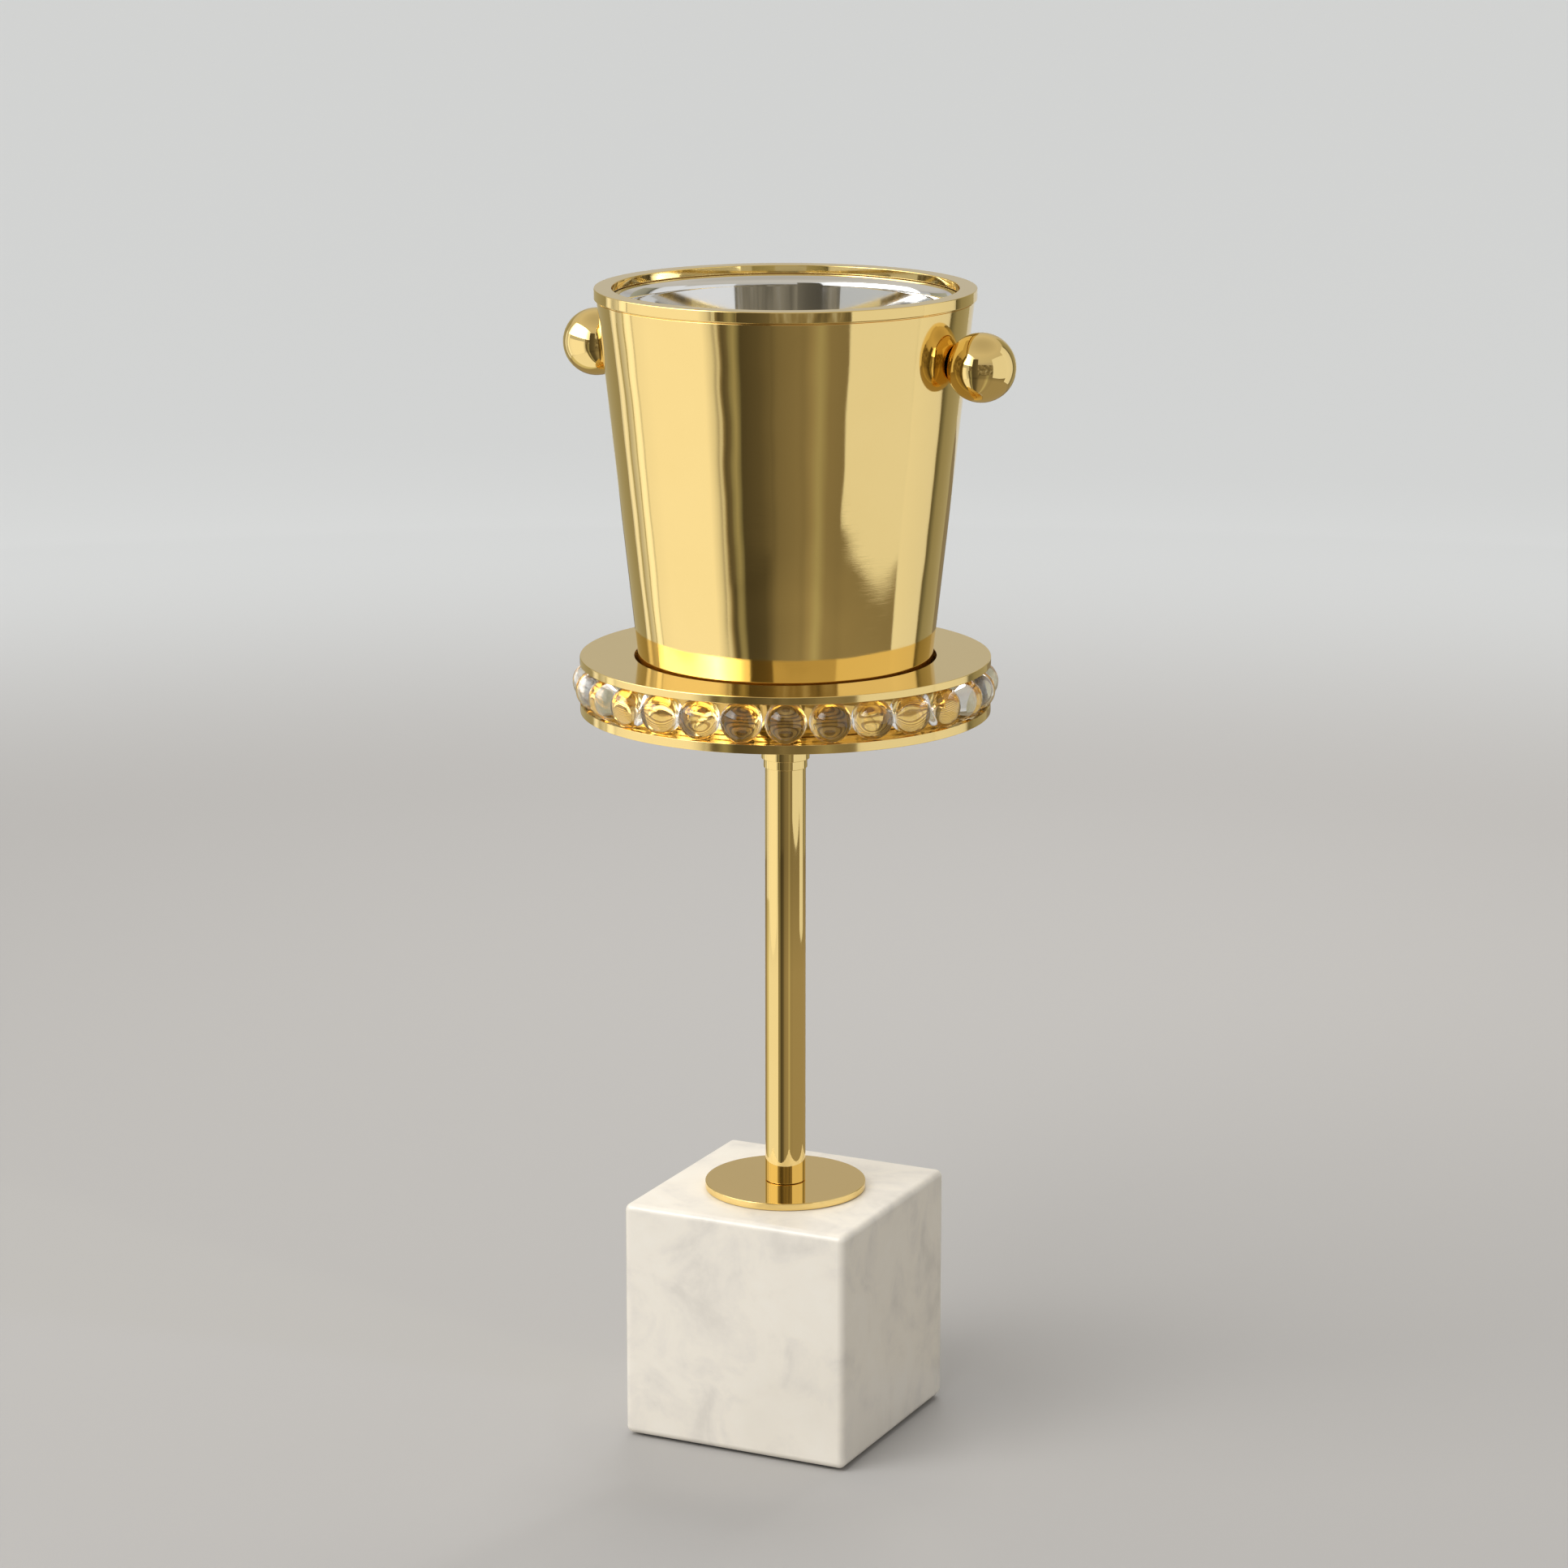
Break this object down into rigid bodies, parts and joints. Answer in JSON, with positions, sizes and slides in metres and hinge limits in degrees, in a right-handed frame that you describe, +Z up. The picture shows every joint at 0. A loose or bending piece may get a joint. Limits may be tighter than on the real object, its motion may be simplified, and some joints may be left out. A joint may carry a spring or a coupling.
{
  "type": "champagne bucket stand",
  "caption": "Floor stand with a marble cube, a slim stem and a double plate holding glass balls, carrying a loose tapered double-walled bucket with ball handles.",
  "frame": {"origin": "floor level under the stem's axis, at the middle of the cube's underside", "axes": "+Z up along the stem and the bucket; the ball handles lie along X; the cube's sides face X and Y"},
  "size_m": [0.3014, 0.2634, 0.7266],
  "materials": {
    "polished_brass": "mirror-polished, gold-toned",
    "turned_brass": "as turned, unpolished",
    "polished_steel": "polished stainless steel",
    "zinc_steel": "zinc-plated",
    "white_marble": "honed white marble with faint grey clouding",
    "clear_glass": "clear, polished",
    "grey_felt": "felt"
  },
  "bodies": {
    "stand": {"base_bolt": "zinc_steel", "base_washer": "zinc_steel", "drum_ring": "polished_brass", "felt_pad": "grey_felt", "foot_disc": "polished_brass", "glass_ball_01": "clear_glass", "glass_ball_02": "clear_glass", "glass_ball_03": "clear_glass", "glass_ball_04": "clear_glass", "glass_ball_05": "clear_glass", "glass_ball_06": "clear_glass", "glass_ball_07": "clear_glass", "glass_ball_08": "clear_glass", "glass_ball_09": "clear_glass", "glass_ball_10": "clear_glass", "glass_ball_11": "clear_glass", "glass_ball_12": "clear_glass", "glass_ball_13": "clear_glass", "glass_ball_14": "clear_glass", "glass_ball_15": "clear_glass", "glass_ball_16": "clear_glass", "glass_ball_17": "clear_glass", "glass_ball_18": "clear_glass", "glass_ball_19": "clear_glass", "glass_ball_20": "clear_glass", "glass_ball_21": "clear_glass", "glass_ball_22": "clear_glass", "glass_ball_23": "clear_glass", "glass_ball_24": "clear_glass", "glass_ball_25": "clear_glass", "glass_ball_26": "clear_glass", "glass_ball_27": "clear_glass", "glass_ball_28": "clear_glass", "lower_plate": "polished_brass", "marble_base": "white_marble", "plate_bolt": "zinc_steel", "ring_screw_1": "polished_brass", "ring_screw_2": "polished_brass", "ring_screw_3": "polished_brass", "stem_collar": "polished_brass", "stem_foot_plug": "turned_brass", "stem_head_plug": "turned_brass", "stem_tube": "polished_brass", "upper_plate": "polished_brass"},
    "bucket": {"bucket_base": "turned_brass", "bucket_shell": "polished_brass", "handle_ball_left": "polished_brass", "handle_ball_right": "polished_brass", "handle_screw_left": "zinc_steel", "handle_screw_right": "zinc_steel", "handle_washer_left": "zinc_steel", "handle_washer_right": "zinc_steel", "liner": "polished_steel", "rim_ring": "polished_brass"}
  },
  "joints": [
    {"name": "bucket_lift", "type": "slide", "parent": "stand", "child": "bucket", "axis": [0, 0, 1], "range_m": [0, 0.3]}
  ]
}
